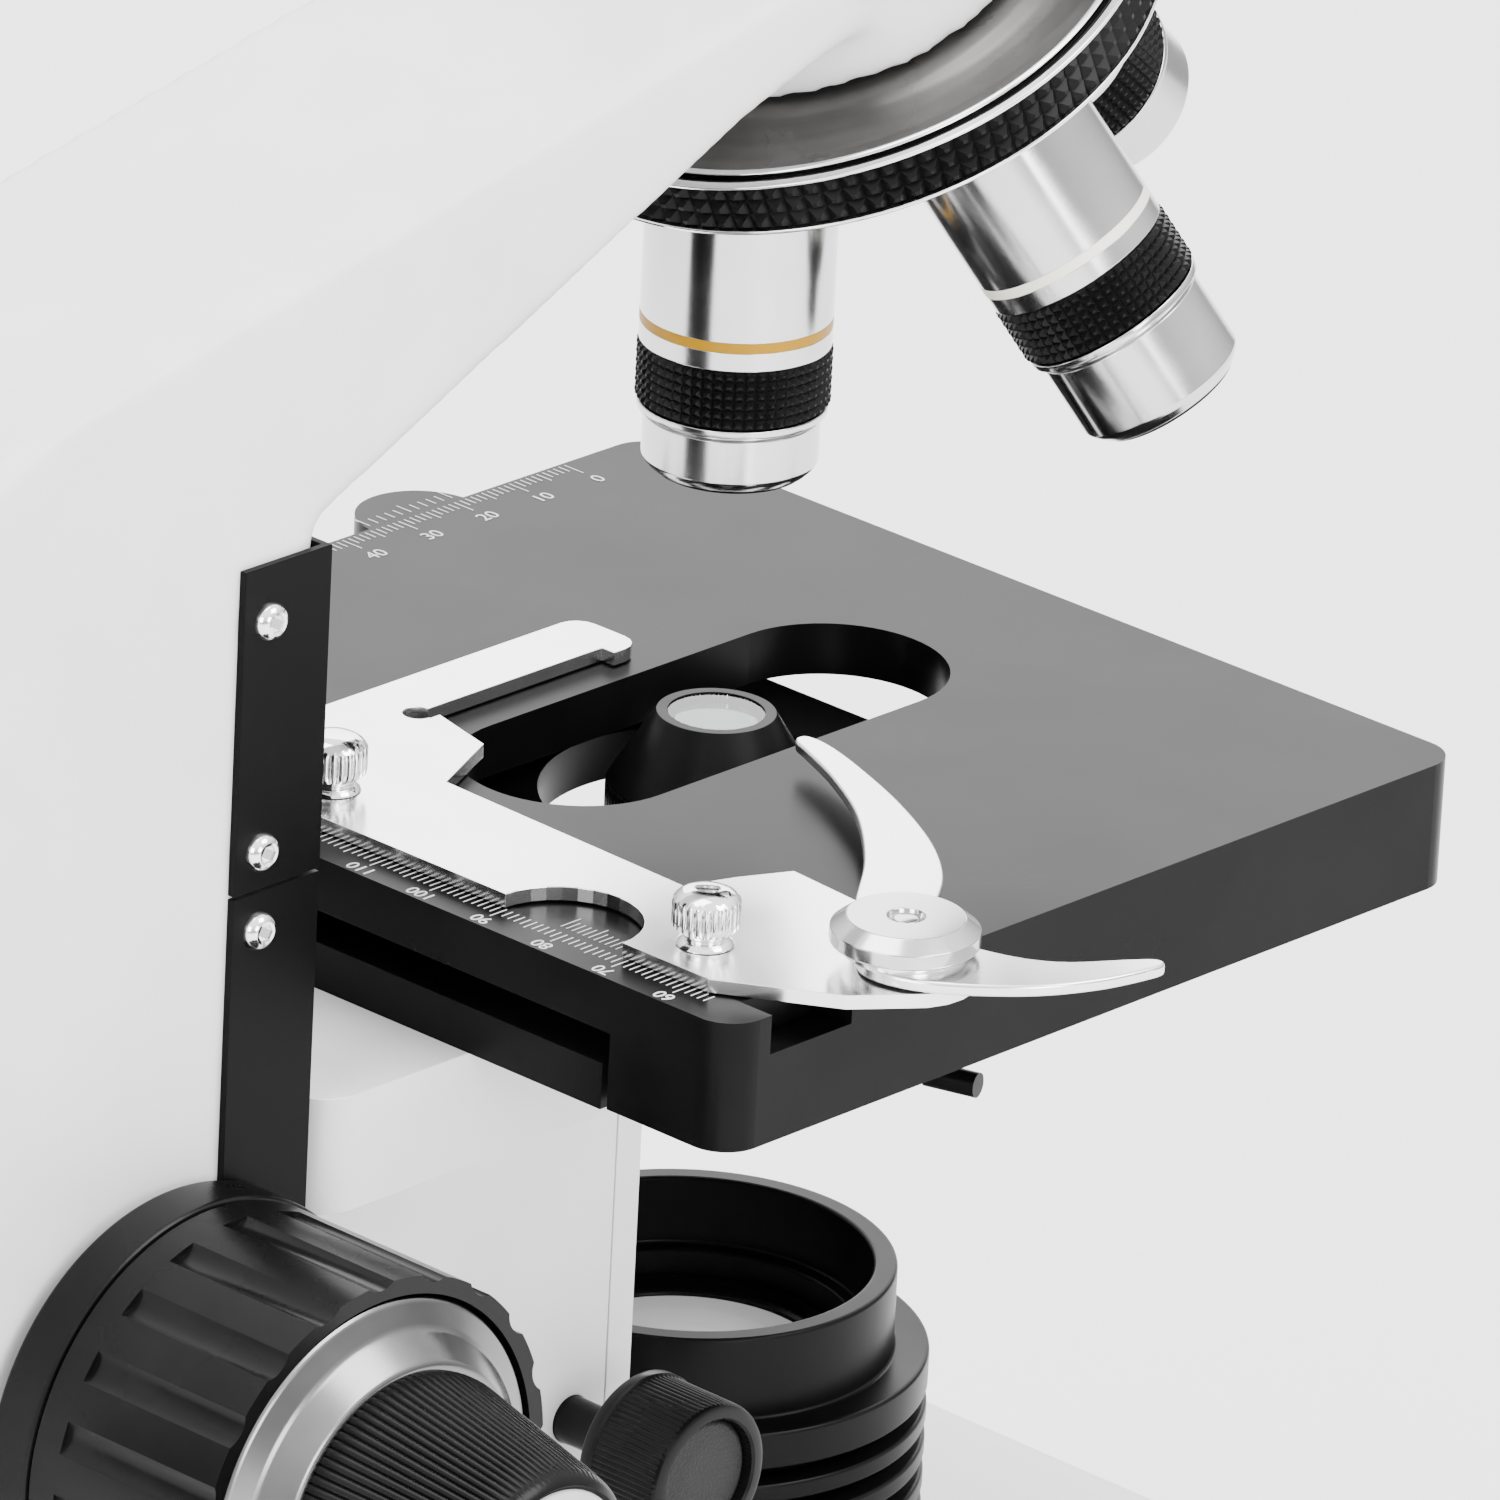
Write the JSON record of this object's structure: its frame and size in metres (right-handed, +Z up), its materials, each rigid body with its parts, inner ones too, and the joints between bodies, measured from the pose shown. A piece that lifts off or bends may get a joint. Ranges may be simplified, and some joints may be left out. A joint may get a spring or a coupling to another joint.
{
  "type": "compound microscope",
  "caption": "Compound microscope with tilted objective turret, mechanical stage, focusing condenser, coaxial focus knobs, lit base and two-eyepiece head.",
  "frame": {"origin": "centre of the footprint of the whole object, on the table", "axes": "+Z up, operator at -Y, arm at the back (+Y), operator's right at +X"},
  "size_m": [0.187, 0.2872, 0.3528],
  "materials": {
    "white_paint": "fine textured powder coat",
    "black_paint": "satin black",
    "black_plastic": "satin moulded",
    "chrome": "bright",
    "steel": "brushed",
    "brass": "machined",
    "aluminium": "machined",
    "rubber": "matte",
    "glass": "polished",
    "board": "lacquered"
  },
  "bodies": {
    "root": {"base_shell": "white_paint", "base_plate": "black_paint", "rubber_feet": "rubber", "base_screws": "steel", "power_board": "board", "power_inlet": "black_plastic", "dimmer_pot": "steel", "lamp_housing": "black_paint", "field_lens": "glass", "led_module": "aluminium", "arm": "white_paint", "upper_cover": "black_paint", "lower_cover": "black_paint", "cover_screws": "chrome", "guide_rods": "steel", "shaft_bushings": "brass", "nosepiece_dome": "steel", "head_screw": "black_plastic"},
    "rocker": {"power_switch": "black_plastic"},
    "dimmer": {"dimmer_knob": "black_plastic"},
    "coarse_drive": {"coarse_shaft": "steel", "coarse_knob_left": "black_plastic", "coarse_knob_right": "black_plastic"},
    "fine_drive": {"fine_shaft": "steel", "fine_knob_left": "black_plastic", "fine_knob_right": "black_plastic"},
    "tension": {"tension_collar": "black_plastic"},
    "carriage": {"carriage": "white_paint", "focus_rack": "brass", "lower_stage": "black_paint", "length_rack": "brass"},
    "stage_plate": {"upper_stage": "black_paint", "drive_housing": "black_paint"},
    "cross_slide": {"cross_slider": "black_paint", "specimen_holder": "chrome", "holder_screws": "chrome", "clip_pivot": "chrome"},
    "clip": {"slide_clip": "chrome"},
    "length_drive": {"length_knob": "black_plastic"},
    "cross_drive": {"cross_knob": "black_plastic"},
    "condenser_lift": {"condenser_slide": "white_paint", "condenser_ring": "black_paint", "condenser": "black_paint", "condenser_lens": "glass", "condenser_screw": "black_plastic"},
    "iris": {"iris_lever": "black_paint"},
    "condenser_drive": {"condenser_knob": "black_plastic"},
    "turret": {"turret": "black_paint", "objective_4x": "chrome", "objective_10x": "chrome", "objective_40x": "chrome", "objective_100x": "chrome", "front_lenses": "glass"},
    "head": {"head_body": "white_paint"},
    "left_eye": {"tube_left": "white_paint", "eyepiece_left": "black_plastic"},
    "right_eye": {"tube_right": "white_paint", "eyepiece_right": "black_plastic"},
    "diopter": {"diopter_ring": "black_plastic"}
  },
  "joints": [
    {"name": "focus_travel", "type": "slide", "parent": "root", "child": "carriage", "axis": [0, 0, 1], "range_m": [-0.015, 0.01]},
    {"name": "coarse_turn", "type": "hinge", "parent": "root", "child": "coarse_drive", "pos_m": [0, 0.08701, 0.117], "axis": [1, 0, 0], "range_deg": [-117, 174]},
    {"name": "fine_turn", "type": "hinge", "parent": "root", "child": "fine_drive", "pos_m": [0, 0.08701, 0.117], "axis": [1, 0, 0], "continuous": true},
    {"name": "tension_turn", "type": "hinge", "parent": "root", "child": "tension", "pos_m": [0, 0.08701, 0.117], "axis": [1, 0, 0], "range_deg": [-25, 25]},
    {"name": "length_travel", "type": "slide", "parent": "carriage", "child": "stage_plate", "axis": [0, 1, 0], "range_m": [-0.025, 0.02]},
    {"name": "length_turn", "type": "hinge", "parent": "stage_plate", "child": "length_drive", "pos_m": [0.057, 0.01282, 0.166], "axis": [0, 0, 1], "range_deg": [-320, 256]},
    {"name": "cross_travel", "type": "slide", "parent": "stage_plate", "child": "cross_slide", "axis": [1, 0, 0], "range_m": [-0.005, 0.04]},
    {"name": "cross_turn", "type": "hinge", "parent": "stage_plate", "child": "cross_drive", "pos_m": [0.057, 0.01282, 0.166], "axis": [0, 0, 1], "range_deg": [-512, 66]},
    {"name": "clip_swing", "type": "hinge", "parent": "cross_slide", "child": "clip", "pos_m": [-0.072, 0.01102, 0.166], "axis": [0, 0, 1], "range_deg": [-35, 0], "stiffness_Nm_per_rad": 0.05, "springref_deg": 17.19},
    {"name": "condenser_travel", "type": "slide", "parent": "carriage", "child": "condenser_lift", "axis": [0, 0, 1], "range_m": [-0.012, 0]},
    {"name": "condenser_turn", "type": "hinge", "parent": "carriage", "child": "condenser_drive", "pos_m": [0, 0.00881, 0.09], "axis": [1, 0, 0], "range_deg": [-1, 198]},
    {"name": "iris_turn", "type": "hinge", "parent": "condenser_lift", "child": "iris", "pos_m": [0, -0.03299, 0.166], "axis": [0, 0, 1], "range_deg": [-30, 30]},
    {"name": "turret_turn", "type": "hinge", "parent": "root", "child": "turret", "pos_m": [0, -0.03299, 0.2862], "axis": [0, 0.4226, 0.9063], "continuous": true},
    {"name": "head_turn", "type": "hinge", "parent": "root", "child": "head", "pos_m": [0, -0.03299, 0.278], "axis": [0, 0, 1], "continuous": true},
    {"name": "left_fold", "type": "hinge", "parent": "head", "child": "left_eye", "pos_m": [0, -0.06298, 0.319], "axis": [0, -0.866, 0.5], "range_deg": [-31.42, 11.5]},
    {"name": "right_fold", "type": "hinge", "parent": "head", "child": "right_eye", "pos_m": [0, -0.06298, 0.319], "axis": [0, -0.866, 0.5], "range_deg": [-11.6, 31.52]},
    {"name": "diopter_turn", "type": "hinge", "parent": "left_eye", "child": "diopter", "pos_m": [-0.032, -0.07276, 0.30207], "axis": [0, -0.866, 0.5], "range_deg": [-90, 90]},
    {"name": "dimmer_turn", "type": "hinge", "parent": "root", "child": "dimmer", "pos_m": [0.08, -0.06298, 0.027], "axis": [1, 0, 0], "range_deg": [-140, 140]},
    {"name": "switch_rock", "type": "hinge", "parent": "root", "child": "rocker", "pos_m": [0.03, 0.13251, 0.025], "axis": [1, 0, 0], "range_deg": [-8, 8]}
  ],
  "couplings": [
    {"joint": "coarse_turn", "follows": "focus_travel", "rad_per_m": -200},
    {"joint": "length_turn", "follows": "length_travel", "rad_per_m": 222.22},
    {"joint": "cross_turn", "follows": "cross_travel", "rad_per_m": -222.22},
    {"joint": "condenser_turn", "follows": "condenser_travel", "rad_per_m": -285.71},
    {"joint": "right_fold", "follows": "left_fold", "ratio": -1}
  ]
}
